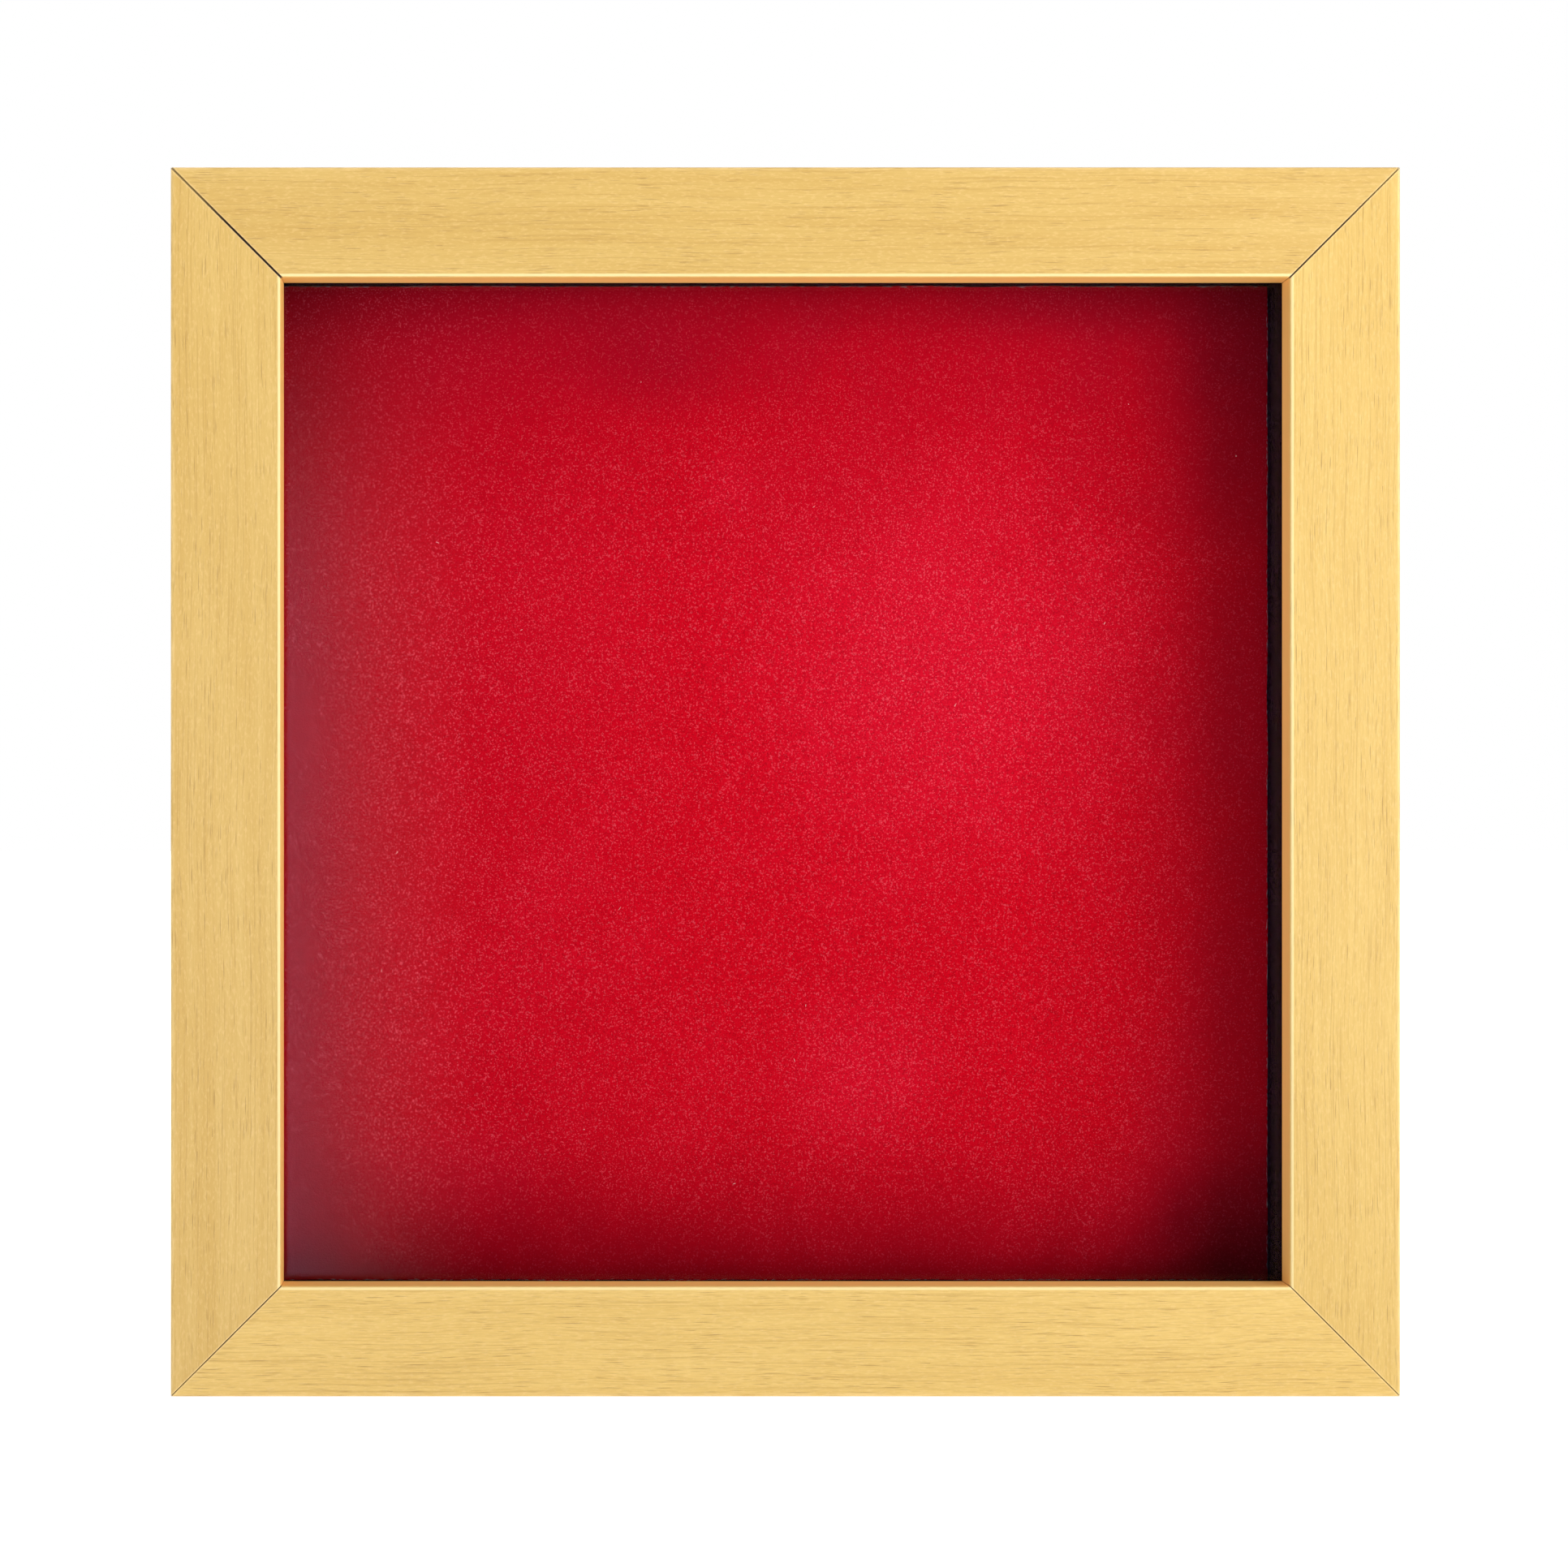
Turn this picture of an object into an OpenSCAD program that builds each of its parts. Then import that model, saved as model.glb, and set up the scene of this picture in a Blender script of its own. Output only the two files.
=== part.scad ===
// Rear-loading wooden shadow box.
// A deep mitred frame holds a pane of glass. Behind the pane stand felt-faced liner strips, and
// then comes a velvet-covered mount board with its backing board, held in by turn buttons.
// Axes: X to the right as seen from the front, Z up, and the front faces -Y.
// Origin: the middle of the footprint that the box stands on, at its lowest point.

/* [Frame] */
// Width that the glass and the boards are cut to
panel_w = 305; // [220:1:500]
// Height that the glass and the boards are cut to
panel_h = 305; // [220:1:500]
// Width of the frame's face
face_w = 31.5; // [30:0.5:50]
// How far the lip reaches over the glass, from the rebate wall
lip_w = 9; // [6:0.5:11]
// Thickness of the lip in front of the glass
lip_d = 8; // [5:0.5:12]
// Radius of the face's rounded edges
arris_r = 0.9; // [0.4:0.1:2]
// Glue line at each mitre
mitre_gap = 0.15; // [0.05:0.05:0.5]

/* [Panels] */
// Gap between the rebate wall and each edge of the glass and the boards
panel_fit = 0.5; // [0.3:0.1:1]
// Thickness of the glass
glass_t = 2; // [1.5:0.5:4]
// Display depth, from the back of the glass to the velvet
display_d = 38; // [20:1:80]
// Thickness of the felt-faced liner strips
liner_t = 1.8; // [1:0.1:4]
// Thickness of the velvet cloth
velvet_t = 1; // [0.6:0.1:1.5]
// Thickness of the board inside the velvet
board_t = 5; // [3:0.5:10]
// How far the velvet is folded over onto the back of its board
velvet_return = 25; // [12:1:40]
// Thickness of the backing board
backing_t = 3; // [2:0.5:6]

/* [Turn buttons] */
// Distance from a frame corner to the nearest button's screw
button_inset = 105; // [95:1:110]
// Distance from the button's screw to the middle of its tip
button_reach = 19; // [16:0.5:24]
// Radius of the button round its screw
button_hub_r = 6; // [5:0.5:7]
// Radius of the button's tip
button_tip_r = 3.5; // [2.5:0.5:4.5]
// Thickness of the button
button_t = 1.2; // [0.8:0.1:2]

/* [Hangers] */
// Distance from the frame's top to the hanger's hinge line
hanger_drop = 58; // [50:1:62]
// Width of the hanger's strap
strap_w = 9; // [7:0.5:10]
// Thickness of the hanger's strap
strap_t = 1; // [0.8:0.1:1.5]
// Distance from the hinge line to the strap's screw
strap_l = 18; // [17:0.5:20]
// Radius of the ring's wire
wire_r = 1.1; // [0.9:0.1:1.4]
// Half the ring's width, between the middles of its wires
ring_r = 8; // [7:0.5:9]
// Length of the ring's straight sides
ring_side = 4; // [2:0.5:5]

/* [Fasteners] */
// Radius of the screws' shanks
screw_r = 1.5; // [1.2:0.1:2]
// Length of a screw under its head
screw_l = 14; // [10:1:20]
// Radius of the screws' heads
head_r = 3.2; // [2.8:0.1:4]
// Height of the screws' heads
head_h = 2; // [1.6:0.1:2.6]
// Length of each leg of a corner nail
nail_leg = 5; // [4:0.5:7]
// Height of a corner nail
nail_h = 10; // [6:1:15]
// Thickness of a corner nail
nail_t = 0.6; // [0.4:0.1:1]

/* [Bumpers] */
// Radius of the bumpers
bumper_r = 6; // [4:0.5:8]
// Height of the bumpers
bumper_h = 5.5; // [3:0.5:8]
// Distance from a frame corner to the nearest bumper's middle
bumper_inset = 42; // [40:1:60]

/* [Hidden] */
$fn = 64;
SIDES = ["bottom", "right", "top", "left"];

// Gaps that let pieces move: a turning button over the backing, a screw in its button,
// a ring's bar in its loop, and a corner nail in its slot
button_gap = 0.3;
turn_fit = 0.08;
head_gap = 0.1;
ring_gap = 0.3;
nail_fit = 0.05;
nail_sink = 0.4;
// How far a screw's thread bites into the wood
thread_bite = 0.3;
// How far a cutting solid runs past the face that it cuts
past = 1;

// Opening between the rebate walls, and the outer size of the frame
rebate_w = panel_w + 2 * panel_fit;
rebate_h = panel_h + 2 * panel_fit;
wall_t = face_w - lip_w;
outer_w = rebate_w + 2 * wall_t;
outer_h = rebate_h + 2 * wall_t;
mid_z = outer_h / 2;

// Depths behind the front face
glass_at = lip_d;
liner_at = glass_at + glass_t;
velvet_at = liner_at + display_d;
board_at = velvet_at + velvet_t;
return_at = board_at + board_t;
backing_at = return_at + velvet_t;
rail_d = backing_at + backing_t + button_gap;

// Fasteners sit on the middle line of the rails' back faces
back_line = wall_t / 2;
hanger_z = outer_h - hanger_drop;
hinge_h = strap_t + ring_gap + wire_r;
loop_bore_r = wire_r + turn_fit;
loop_r = loop_bore_r + strap_t;

// What stands proudest behind the frame sets the depth that the origin is centred on
front_y = -(rail_d + max(bumper_h, hinge_h + loop_r)) / 2;
back_y = front_y + rail_d;
strap_end_r = strap_w / 2;
// Middles of the two corner nails, from the outer corner along each rail
nail_places = [wall_t * 0.25, wall_t * 0.7];

// Each button's name, its rail, and on which side of the rail's middle it sits
BUTTONS = [
    ["button_bottom_left", "bottom", -1],
    ["button_bottom_right", "bottom", 1],
    ["button_right_lower", "right", -1],
    ["button_right_upper", "right", 1],
    ["button_top_right", "top", -1],
    ["button_top_left", "top", 1],
    ["button_left_upper", "left", -1],
    ["button_left_lower", "left", 1]
];
RAILS = [for (side = SIDES) str("frame_", side, "_rail")];
LINERS = [for (side = SIDES) str("liner_", side)];
HANGER_SIDES = ["left", "right"];
STRAPS = [for (side = HANGER_SIDES) str("hanger_strap_", side)];
RINGS = [for (side = HANGER_SIDES) str("hanger_ring_", side)];

function is_upright(side) = side == "left" || side == "right";
// Outer length of the rail on a side
function rail_length(side) = is_upright(side) ? outer_h : outer_w;
// Distance of a rail's buttons from the middle of the rail
function button_offset(side) = rail_length(side) / 2 - button_inset;
// Distance of a rail's bumpers from the middle of the rail
function bumper_offset(side) = rail_length(side) / 2 - bumper_inset;
// Where the hanger's screw sits along its rail, in that rail's own direction
function strap_screw_offset(side) = (side == "right" ? 1 : -1) * (hanger_z - strap_l - mid_z);

// Moves a piece drawn for the bottom rail, outer edge at z = 0, to any of the four sides
module at_side(side) {
    turn = [["bottom", 0], ["right", -90], ["top", 180], ["left", 90]];
    angle = turn[search([side], turn)[0]][1];
    half = is_upright(side) ? outer_w / 2 : outer_h / 2;
    translate([0, 0, mid_z]) rotate([0, angle, 0]) translate([0, 0, -half]) children();
}

// Extrudes an outline, drawn in X and Z, from one depth behind the front face to another
module slab(from_d, to_d) {
    translate([0, front_y + to_d, 0])
        rotate([90, 0, 0])
            linear_extrude(to_d - from_d)
                children();
}

// A centred upright board, between two depths behind the front face
module board(w, h, from_d, to_d) {
    slab(from_d, to_d) translate([-w / 2, mid_z - h / 2]) square([w, h]);
}

// A place on a side's back line, where a piece is drawn standing up from the back face
module on_back(side, along) {
    at_side(side) translate([along, back_y, back_line]) rotate([-90, 0, 0]) children();
}

// ---- Frame ----

// Section of the rails: x is the depth behind the front face, y the distance from the outer edge
module rail_section() {
    difference() {
        union() {
            translate([arris_r, 0]) square([rail_d - arris_r, face_w]);
            translate([0, arris_r]) square([arris_r * 2, face_w - 2 * arris_r]);
            for (edge = [arris_r, face_w - arris_r])
                translate([arris_r, edge]) circle(r = arris_r);
        }
        translate([lip_d, wall_t]) square([rail_d, lip_w + past]);
    }
}

// Outline of a rail with both mitres, cut back by half of the glue line
module mitre_outline(length) {
    cut = mitre_gap / 2 * sqrt(2);
    foot = length / 2 - cut;
    polygon([[-foot, 0], [foot, 0], [foot - face_w, face_w], [face_w - foot, face_w]]);
}

// One corner nail from behind: two legs that meet on the mitre, at an outer corner at the origin
module nail_outline(place, grow) {
    translate([place - grow, place - grow]) {
        square([nail_leg + 2 * grow, nail_t + 2 * grow]);
        square([nail_t + 2 * grow, nail_leg + 2 * grow]);
    }
}

// Both nails of the corner at the left end of the bottom rail, or the slots that they fill
module nail_pair(half, grow) {
    for (place = nail_places)
        slab(rail_d - nail_sink - nail_h - grow, rail_d - (grow > 0 ? -past : nail_sink))
            translate([-half, 0]) nail_outline(place, grow);
}

// The slots at both ends of a rail
module nail_slots(length) {
    for (end = [0, 1])
        mirror([end, 0, 0]) nail_pair(length / 2, nail_fit);
}

// Pilot hole for a wood screw, drawn down into the back face
module pilot_hole(length) {
    translate([0, 0, -length]) cylinder(r = screw_r - thread_bite, h = length + past);
}

module rail(side) {
    length = rail_length(side);
    color("burlywood") difference() {
        at_side(side) difference() {
            intersection() {
                translate([-length / 2, front_y, 0])
                    rotate([90, 0, 90])
                        linear_extrude(length)
                            rail_section();
                slab(-past, rail_d + past) mitre_outline(length);
            }
            nail_slots(length);
        }
        for (way = [-1, 1])
            on_back(side, way * button_offset(side)) pilot_hole(screw_l - button_t - head_gap);
        if (is_upright(side))
            on_back(side, strap_screw_offset(side)) pilot_hole(screw_l - strap_t);
    }
}

module corner_nails() {
    color("dimgray")
        for (top = [0, 1], right = [0, 1])
            translate([0, 0, top * outer_h])
                mirror([0, 0, top])
                    mirror([right, 0, 0])
                        nail_pair(outer_w / 2, 0);
}

// ---- What the frame holds ----

module glass_pane() {
    color("lightcyan", 0.3) board(panel_w, panel_h, glass_at, liner_at);
}

// The bottom and top strips run the full width, and the side strips stand between them
module liner(side) {
    length = is_upright(side) ? rebate_h - 2 * liner_t : rebate_w;
    color("black")
        at_side(side)
            slab(liner_at, velvet_at)
                translate([-length / 2, wall_t])
                    square([length, liner_t]);
}

// The cloth covers the front and the edges of the board, and is folded over onto its back
module velvet_cover() {
    color("crimson") difference() {
        board(panel_w, panel_h, velvet_at, backing_at);
        board(panel_w - 2 * velvet_t, panel_h - 2 * velvet_t, board_at, return_at);
        board(panel_w - 2 * velvet_return, panel_h - 2 * velvet_return, board_at, backing_at + past);
    }
}

module mount_board() {
    color("whitesmoke")
        board(panel_w - 2 * velvet_t, panel_h - 2 * velvet_t, board_at, return_at);
}

module backing_board() {
    color("peru") board(panel_w, panel_h, backing_at, backing_at + backing_t);
}

// ---- Fasteners ----

// Pan-head screw drawn along +Z with the underside of its head at z = 0
module screw() {
    slot = head_r * 1.1;
    slot_w = head_r * 0.22;
    rim = head_h * 0.45;
    translate([0, 0, -screw_l]) cylinder(r = screw_r, h = screw_l + rim);
    difference() {
        union() {
            cylinder(r = head_r, h = rim);
            translate([0, 0, rim]) dome(head_r, head_h - rim);
        }
        for (turn = [45, 135])
            rotate([0, 0, turn])
                translate([-slot / 2, -slot_w / 2, rim])
                    cube([slot, slot_w, head_h]);
    }
}

// A flat cap of a sphere, with its rim of radius r at z = 0
module dome(r, h) {
    ball = (r * r + h * h) / (2 * h);
    intersection() {
        translate([0, 0, h - ball]) sphere(r = ball, $fn = 96);
        cylinder(r = r, h = h);
    }
}

// Pressed plate, wide at the screw and narrow at the tip, drawn with its arm along +X
module button_plate() {
    difference() {
        linear_extrude(button_t) hull() {
            circle(r = button_hub_r);
            translate([button_reach, 0]) circle(r = button_tip_r);
        }
        translate([0, 0, -past]) cylinder(r = screw_r + turn_fit, h = button_t + 2 * past);
    }
}

// At rest the arm lies along its rail and points to the rail's middle, clear of the boards
module turn_button(side, way) {
    color("lightgray")
        on_back(side, way * button_offset(side))
            rotate([0, 0, way > 0 ? 180 : 0])
                button_plate();
}

module button_screws() {
    color("silver")
        for (button = BUTTONS)
            on_back(button[1], button[2] * button_offset(button[1]))
                translate([0, 0, button_t + head_gap])
                    screw();
}

// ---- Hangers ----

// Draws a hanger piece with z away from the back face, y up, and the hinge line's foot at the origin
module at_hanger(side) {
    translate([(side == "right" ? 1 : -1) * (outer_w / 2 - back_line), back_y, hanger_z])
        rotate([90, 0, 180])
            children();
}

// A plate with a screw hole, rolled at its top into a loop for the ring
module hanger_strap(side) {
    color("silver") at_hanger(side) difference() {
        union() {
            translate([-strap_w / 2, -strap_l, 0]) cube([strap_w, strap_l, strap_t]);
            translate([0, -strap_l, 0]) cylinder(r = strap_end_r, h = strap_t);
            translate([-strap_w / 2, 0, hinge_h]) rotate([0, 90, 0]) cylinder(r = loop_r, h = strap_w);
        }
        translate([-strap_w / 2 - past, 0, hinge_h])
            rotate([0, 90, 0])
                cylinder(r = loop_bore_r, h = strap_w + 2 * past);
        translate([0, -strap_l, -past]) cylinder(r = screw_r + turn_fit, h = strap_t + 2 * past);
    }
}

// A wire ring in the shape of a D that hangs straight down from its bar
module hanger_ring(side) {
    color("silver") at_hanger(side) translate([0, 0, hinge_h]) {
        translate([-ring_r, 0, 0]) rotate([0, 90, 0]) cylinder(r = wire_r, h = 2 * ring_r);
        for (way = [-1, 1]) {
            translate([way * ring_r, 0, 0]) sphere(r = wire_r);
            translate([way * ring_r, -ring_side, 0]) rotate([-90, 0, 0]) cylinder(r = wire_r, h = ring_side);
        }
        translate([0, -ring_side, 0])
            rotate([0, 0, 180])
                rotate_extrude(angle = 180)
                    translate([ring_r, 0])
                        circle(r = wire_r);
    }
}

module hanger_screws() {
    color("silver")
        for (side = HANGER_SIDES)
            at_hanger(side)
                translate([0, -strap_l, strap_t])
                    screw();
}

// ---- Bumpers ----

module wall_bumpers() {
    edge_r = bumper_h * 0.3;
    color("dimgray")
        for (side = ["bottom", "top"], way = [-1, 1])
            on_back(side, way * bumper_offset(side))
                rotate_extrude() {
                    square([bumper_r, bumper_h - edge_r]);
                    square([bumper_r - edge_r, bumper_h]);
                    translate([bumper_r - edge_r, bumper_h - edge_r]) circle(r = edge_r);
                }
}

for (i = [0:len(SIDES) - 1]) {
    rail(SIDES[i]);
    liner(SIDES[i]);
}
corner_nails();
glass_pane();
velvet_cover();
mount_board();
backing_board();
for (button = BUTTONS)
    turn_button(button[1], button[2]);
button_screws();
for (i = [0:len(HANGER_SIDES) - 1]) {
    hanger_strap(HANGER_SIDES[i]);
    hanger_ring(HANGER_SIDES[i]);
}
hanger_screws();
wall_bumpers();
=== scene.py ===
"""The shadow box's looks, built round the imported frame. Every length is in metres."""
import math
import random

import bmesh
import bpy
from mathutils import Matrix, Vector, noise


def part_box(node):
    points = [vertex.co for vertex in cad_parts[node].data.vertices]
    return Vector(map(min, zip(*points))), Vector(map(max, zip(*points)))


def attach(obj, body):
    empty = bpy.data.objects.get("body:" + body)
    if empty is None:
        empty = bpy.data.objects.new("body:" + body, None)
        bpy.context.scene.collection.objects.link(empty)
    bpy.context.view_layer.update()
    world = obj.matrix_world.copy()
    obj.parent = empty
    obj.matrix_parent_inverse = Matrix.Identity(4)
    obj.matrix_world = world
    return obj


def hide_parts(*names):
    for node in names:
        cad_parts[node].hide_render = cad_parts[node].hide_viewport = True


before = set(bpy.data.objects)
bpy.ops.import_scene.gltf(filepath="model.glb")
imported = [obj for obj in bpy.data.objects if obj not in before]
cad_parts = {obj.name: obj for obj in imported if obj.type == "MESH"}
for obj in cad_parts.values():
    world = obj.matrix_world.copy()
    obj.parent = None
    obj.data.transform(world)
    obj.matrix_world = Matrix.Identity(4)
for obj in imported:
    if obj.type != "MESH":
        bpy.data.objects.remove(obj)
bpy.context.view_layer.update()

MM = 0.001

# ---- Places, all read from the frame ----

SIDES = ("bottom", "right", "top", "left")
FLAT_SIDES = ("bottom", "top")
LEFT_LO, LEFT_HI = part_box("frame_left_rail")
FRONT_Y = LEFT_LO.y
BACK_Y = LEFT_HI.y
HALF_W = -LEFT_LO.x
MID_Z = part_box("frame_top_rail")[1].z / 2
SIGHT = -LEFT_HI.x
VELVET_LO, VELVET_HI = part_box("velvet_cover")
BOARD_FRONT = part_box("mount_board")[0].y
WALL_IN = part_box("liner_right")[0].x
WALL_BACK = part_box("liner_right")[1].y


# ---- Small helpers ----


def new_object(name, bm, material, smooth=True):
    """A linked object made from a bmesh, which is freed."""
    mesh = bpy.data.meshes.new(name)
    bm.normal_update()
    bm.to_mesh(mesh)
    bm.free()
    for polygon in mesh.polygons:
        polygon.use_smooth = smooth
    obj = bpy.data.objects.new(name, mesh)
    bpy.context.scene.collection.objects.link(obj)
    obj.data.materials.append(material)
    return obj


def place(obj, body, slot, *nodes):
    """Rides a finished piece on its body and hides what it stands for. The slot is not used."""
    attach(obj, body)
    if nodes:
        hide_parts(*nodes)
    return obj


def dress(node, material):
    """Gives a CAD node a better material, and leaves its mesh alone."""
    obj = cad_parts[node]
    for slot in obj.material_slots:
        slot.material = material


class Nodes:
    """The nodes of a material or a world, written one call per node."""

    def __init__(self, owner, output):
        owner.use_nodes = True
        self.owner = owner
        self.tree = owner.node_tree
        self.tree.nodes.clear()
        self.out = self.tree.nodes.new(output)

    def add(self, kind, inputs=None, **settings):
        node = self.tree.nodes.new("ShaderNode" + kind)
        for key, value in settings.items():
            setattr(node, key, value)
        for key, value in (inputs or {}).items():
            self.feed(node.inputs[key], value)
        return node

    def feed(self, socket, value):
        if isinstance(value, bpy.types.NodeSocket):
            self.tree.links.new(value, socket)
        elif isinstance(value, bpy.types.Node):
            self.tree.links.new(value.outputs[0], socket)
        else:
            socket.default_value = value

    def math(self, operation, a, b=None):
        node = self.add("Math", operation=operation)
        self.feed(node.inputs[0], a)
        if b is not None:
            self.feed(node.inputs[1], b)
        return node.outputs[0]

    def plus(self, a, b):
        return self.math("ADD", a, b)

    def minus(self, a, b):
        return self.math("SUBTRACT", a, b)

    def product(self, *values):
        result = values[0]
        for value in values[1:]:
            result = self.math("MULTIPLY", result, value)
        return result

    def weighted(self, *pairs):
        """The sum of each value times its weight."""
        result = self.product(*pairs[0])
        for pair in pairs[1:]:
            result = self.plus(result, self.product(*pair))
        return result

    def length(self, a, b):
        """How far the point (a, b) lies from (0, 0)."""
        return self.math("SQRT", self.plus(self.math("POWER", a, 2.0), self.math("POWER", b, 2.0)))

    def ramp(self, value, low, high, to_low=0.0, to_high=1.0):
        """A smooth step from one level to another, whichever way low and high run."""
        if isinstance(low, float) and isinstance(high, float) and low > high:
            low, high, to_low, to_high = high, low, to_high, to_low
        ends = {"Value": value, "From Min": low, "From Max": high, "To Min": to_low, "To Max": to_high}
        return self.add("MapRange", ends, interpolation_type="SMOOTHSTEP").outputs[0]

    def mix(self, factor, a, b):
        node = self.add("Mix", data_type="RGBA")
        for name, value in (("Factor", factor), ("A", a), ("B", b)):
            self.feed([s for s in node.inputs if s.name == name and s.enabled][0], value)
        return [s for s in node.outputs if s.enabled][0]

    def coordinates(self):
        return self.add("TexCoord").outputs["Object"]

    def position(self):
        return self.split(self.coordinates())

    def split(self, vector):
        return self.add("SeparateXYZ", {0: vector}).outputs

    def vector(self, x, y, z):
        return self.add("CombineXYZ", {0: x, 1: y, 2: z}).outputs[0]

    def stretched(self, values, per_metre):
        """Three lengths as a point, counted in steps of a different size each way."""
        return self.vector(*[self.product(value, scale) for value, scale in zip(values, per_metre)])

    def noise(self, vector, scale, detail=2.0, rough=0.5, distort=0.0):
        settings = {"Vector": vector, "Scale": scale, "Detail": detail, "Roughness": rough}
        return self.add("TexNoise", {**settings, "Distortion": distort}).outputs[0]

    def cells(self, vector, scale):
        """Scattered cells: how far a point is from its cell's middle, and a chance from 0 to 1 per cell."""
        cell = self.add("TexVoronoi", {"Vector": vector, "Scale": scale, "Randomness": 1.0}).outputs
        return cell["Distance"], self.add("SeparateColor", {0: cell["Color"]}).outputs[0]

    def bump(self, height, distance, strength=1.0):
        return self.add("Bump", {"Height": height, "Distance": distance, "Strength": strength}).outputs[0]

    def finish(self, shader):
        self.feed(self.out.inputs["Surface"], shader)
        return self.owner

    def principled(self, colour, roughness, **extra):
        """Ends the tree with a principled surface. An extra input's name has _ for each space."""
        look = {"Base Color": colour, "Roughness": roughness}
        look.update({key.replace("_", " "): value for key, value in extra.items()})
        return self.finish(self.add("BsdfPrincipled", look))


def new_material(name):
    return Nodes(bpy.data.materials.new(name), "ShaderNodeOutputMaterial")


# ---- Wood ----

WOOD_LIGHT = (0.615, 0.415, 0.128, 1)
WOOD_DEEP = (0.547, 0.344, 0.088, 1)
WOOD_LINE = (0.40, 0.225, 0.045, 1)
WOOD_PORE = (0.26, 0.135, 0.030, 1)
WOOD_PALE = (0.80, 0.58, 0.25, 1)
WOOD_PAINTED_LIT = (0.95, 0.68, 0.20, 1)
WOOD_ARRIS_HIGHLIGHT = (0.95, 0.80, 0.42, 1)
WOOD_LIP_STAIN_AND_BOUNCE = (1.0, 0.56, 0.160, 1)
GLUE_DARK = (0.022, 0.008, 0.008, 1)
RAW_LIGHT = (0.60, 0.43, 0.24, 1)
RAW_DEEP = (0.50, 0.33, 0.16, 1)
RAW_PORE = (0.22, 0.13, 0.05, 1)

# Painted light: how much lighter each rail is painted, standing in for light that falls more strongly on
# some rails than on others
RAIL_PAINTED_LIGHT = {"bottom": 0.28, "right": 0.19, "top": 0.0, "left": 0.03}

# The corners at a rail's two ends, the lower or left one first
ENDS = {
    "bottom": ("bottom_left", "bottom_right"),
    "right": ("bottom_right", "top_right"),
    "top": ("top_left", "top_right"),
    "left": ("bottom_left", "top_left"),
}

# How wide a band dirt has darkened beside each mitre, in mm, and how dark it is
MITRES = {
    "top_left": (0.21, 1.0),
    "top_right": (0.13, 0.9),
    "bottom_left": (0.07, 0.7),
    "bottom_right": (0.06, 0.6),
}


class Grain:
    """The pattern of one rail's wood, drawn out along the rail."""

    def __init__(self, m, along, across, y, seed):
        # Slow waviness bends every streak a little
        sway = m.noise(m.vector(m.product(along, 9.0), across, seed), 1.0)
        self.m = m
        self.y = y
        self.across = m.plus(across, m.product(sway, 5 * MM))
        self.along = m.plus(along, seed * 0.731)
        bands = self.streaks(4.0, 60.0, 3.0)
        fine = self.streaks(16.0, 520.0, 3.0)
        crowd = self.streaks(24.0, 120.0)
        self.tone = m.weighted((bands, 0.5), (fine, 0.5))
        self.fibres = self.streaks(160.0, 2600.0)
        self.mottle = self.streaks(520.0, 1500.0)
        self.lines = m.ramp(self.streaks(26.0, 2300.0, rough=0.5), 0.55, 0.66)
        self.long_pores = self.pores(70.0, 1500.0, crowd, fewest=0.15, most=0.75, width=0.27)
        self.short_pores = self.pores(150.0, 2300.0, crowd, fewest=0.20, most=0.70, width=0.33)
        self.rub = m.ramp(self.streaks(90.0, 900.0, 3.0, 0.7), 0.36, 0.62)
        surface = m.product(m.plus(self.fibres, fine), 0.35)
        self.relief = m.minus(surface, m.math("MAXIMUM", self.long_pores, self.short_pores))

    def stretched(self, per_metre_along, per_metre_across):
        """Where a point is, counted in steps along the rail and in steps across it."""
        places = (self.along, self.across, self.y)
        return self.m.stretched(places, (per_metre_along, per_metre_across, per_metre_across))

    def streaks(self, per_metre_along, per_metre_across, detail=2.0, rough=0.6):
        """Noise from 0 to 1 whose patches are drawn out along the rail."""
        return self.m.noise(self.stretched(per_metre_along, per_metre_across), 1.0, detail, rough)

    def pores(self, per_metre_along, per_metre_across, crowd, fewest, most, width):
        """Short dark slits, more of them where crowd is high."""
        distance, chance = self.m.cells(self.stretched(per_metre_along, per_metre_across), 1.0)
        there = self.m.math("GREATER_THAN", chance, self.m.ramp(crowd, 0.38, 0.62, 1 - fewest, 1 - most))
        return self.m.product(self.m.ramp(distance, width, width * 0.35), there)


def mitre(m, side, far_x, far_z, upper_end, rub):
    """A rail's mitred ends: the dark glue line, and the crushed pale arris beside it."""
    (low_width, low_dark), (high_width, high_dark) = [MITRES[corner] for corner in ENDS[side]]
    dark = m.plus(m.product(upper_end, high_dark - low_dark), low_dark)
    band = m.plus(m.product(upper_end, (high_width - low_width) * MM), low_width * MM)
    band = m.plus(band, m.product(rub, 0.04 * MM))
    gap = m.product(m.math("ABSOLUTE", m.minus(far_x, far_z)), math.sqrt(0.5))
    past = m.minus(gap, band)
    reach = m.math("MAXIMUM", far_x, far_z)
    inner_end = m.ramp(reach, HALF_W - 3 * MM, SIGHT + 14 * MM, 0.55, 1.0)
    line = m.product(m.ramp(past, 0.14 * MM, 0.04 * MM), dark, inner_end)
    arris = m.product(m.ramp(past, 0.06 * MM, 0.18 * MM), m.ramp(past, 0.55 * MM, 0.25 * MM))
    return line, arris


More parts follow.
